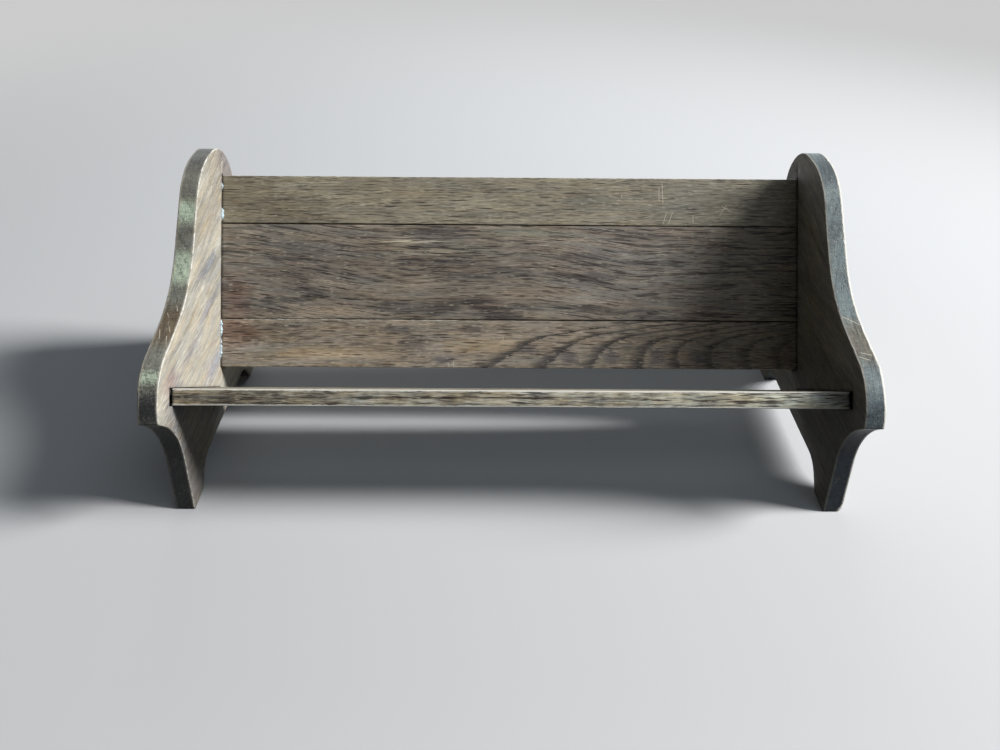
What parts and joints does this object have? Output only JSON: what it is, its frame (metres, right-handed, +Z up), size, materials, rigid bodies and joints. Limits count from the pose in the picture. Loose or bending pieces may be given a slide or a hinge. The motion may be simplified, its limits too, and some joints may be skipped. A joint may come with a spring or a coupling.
{
  "type": "book trough",
  "caption": "Table-top wooden book trough: two shaped ends with feet carry a sloping shelf and a leaning board back in a V.",
  "frame": {"origin": "on the ground, under the middle of the bounding box", "axes": "+X to the right along the shelf, +Y to the back, +Z up"},
  "size_m": [0.457, 0.2162, 0.1837],
  "materials": {
    "end_oak": "worn satin varnish on weathered oak, pale along the arrises",
    "shelf_oak": "worn satin varnish on weathered oak, pale along the arrises",
    "back_oak": "worn satin varnish on weathered grey-brown oak"
  },
  "bodies": {
    "root": {"left_end": "end_oak", "right_end": "end_oak", "shelf_board": "shelf_oak", "back_lower_board": "back_oak", "back_middle_board": "back_oak", "back_top_board": "back_oak"}
  },
  "joints": []
}
